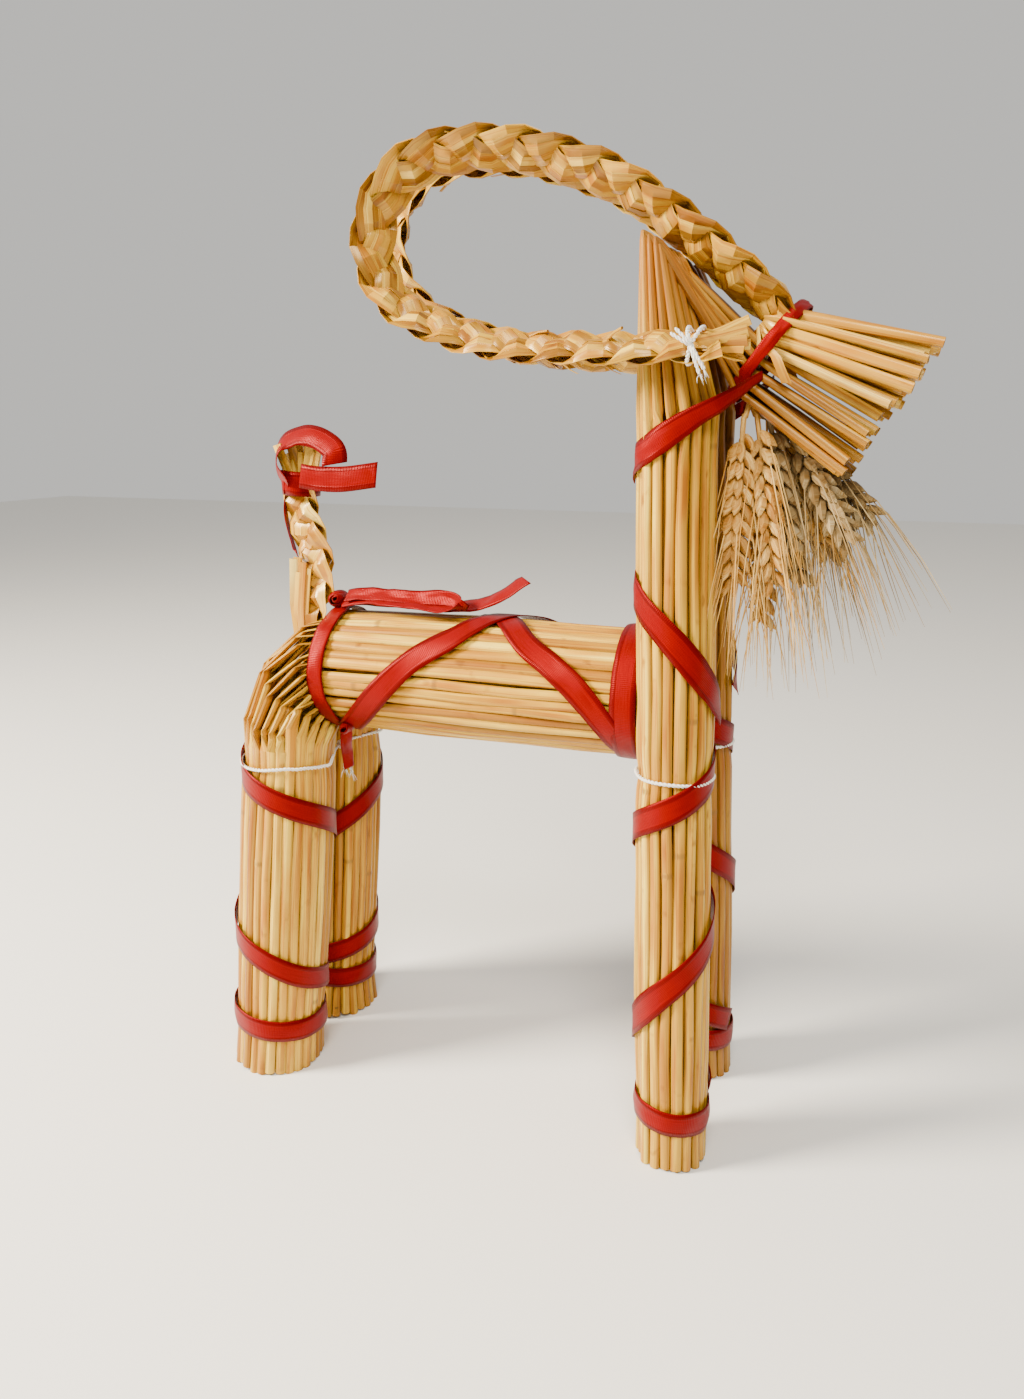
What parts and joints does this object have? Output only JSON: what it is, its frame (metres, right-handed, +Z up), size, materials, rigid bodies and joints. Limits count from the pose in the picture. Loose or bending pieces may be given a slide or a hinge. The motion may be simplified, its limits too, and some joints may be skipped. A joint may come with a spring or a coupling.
{
  "type": "straw goat figure",
  "caption": "Standing goat figure tied from straw bundles, with braided loop horns and tail, red ribbon wraps and hanging wheat ears.",
  "frame": {"origin": "on the ground under the middle of the goat's length and width", "axes": "+Z up, +X towards the muzzle, +Y towards the goat's left side"},
  "size_m": [0.289, 0.0984, 0.3986],
  "materials": {
    "straw_stalk": "dry rye straw stalks, satin skin with fine lengthwise ribs",
    "inner_straw": "dry rye straw stalks packed inside a bundle, in shade",
    "creased_muzzle_straw": "orange-brown rye straw, creased, with open cut ends",
    "braided_straw": "soaked, flattened and braided straw, glossy",
    "loose_straw_ends": "pale flattened straw ends",
    "wheat_ear": "dry bearded ears",
    "red_satin_ribbon": "woven polyester satin",
    "white_cotton_string": "twisted unbleached cotton string, matt"
  },
  "bodies": {
    "root": {"right_front_stalks": "straw_stalk", "left_front_stalks": "straw_stalk", "right_front_core": "inner_straw", "left_front_core": "inner_straw", "right_muzzle_stalks": "creased_muzzle_straw", "left_muzzle_stalks": "creased_muzzle_straw", "body_stalks": "straw_stalk", "body_core": "inner_straw", "body_tongue_stalks": "inner_straw", "right_rump_stalks": "straw_stalk", "left_rump_stalks": "straw_stalk", "right_hind_stalks": "straw_stalk", "left_hind_stalks": "straw_stalk", "right_hind_core": "inner_straw", "left_hind_core": "inner_straw", "right_horn_braid": "braided_straw", "left_horn_braid": "braided_straw", "right_horn_ends": "loose_straw_ends", "left_horn_ends": "loose_straw_ends", "tail_braid": "braided_straw", "tail_tuft": "loose_straw_ends", "right_front_string": "white_cotton_string", "left_front_string": "white_cotton_string", "hind_string": "white_cotton_string", "muzzle_string": "white_cotton_string", "right_horn_string": "white_cotton_string", "left_horn_string": "white_cotton_string", "muzzle_ribbon": "red_satin_ribbon", "right_neck_ribbon_high": "red_satin_ribbon", "left_neck_ribbon_high": "red_satin_ribbon", "right_neck_ribbon_low": "red_satin_ribbon", "left_neck_ribbon_low": "red_satin_ribbon", "right_front_leg_ribbon": "red_satin_ribbon", "left_front_leg_ribbon": "red_satin_ribbon", "right_front_foot_band": "red_satin_ribbon", "left_front_foot_band": "red_satin_ribbon", "right_hind_leg_ribbon": "red_satin_ribbon", "left_hind_leg_ribbon": "red_satin_ribbon", "right_hind_foot_band": "red_satin_ribbon", "left_hind_foot_band": "red_satin_ribbon", "body_front_ribbon": "red_satin_ribbon", "body_rear_ribbon": "red_satin_ribbon", "body_cross_ribbon_right": "red_satin_ribbon", "body_cross_ribbon_left": "red_satin_ribbon", "bow_knot": "red_satin_ribbon", "bow_loop": "red_satin_ribbon", "bow_tail": "red_satin_ribbon", "tail_ribbon_band": "red_satin_ribbon", "tail_ribbon_loop": "red_satin_ribbon", "tail_ribbon_end": "red_satin_ribbon", "wheat_ear_1": "wheat_ear", "wheat_ear_2": "wheat_ear", "wheat_ear_3": "wheat_ear", "wheat_ear_4": "wheat_ear", "wheat_ear_5": "wheat_ear", "wheat_ear_6": "wheat_ear", "wheat_ear_7": "wheat_ear", "wheat_ear_8": "wheat_ear"}
  },
  "joints": []
}
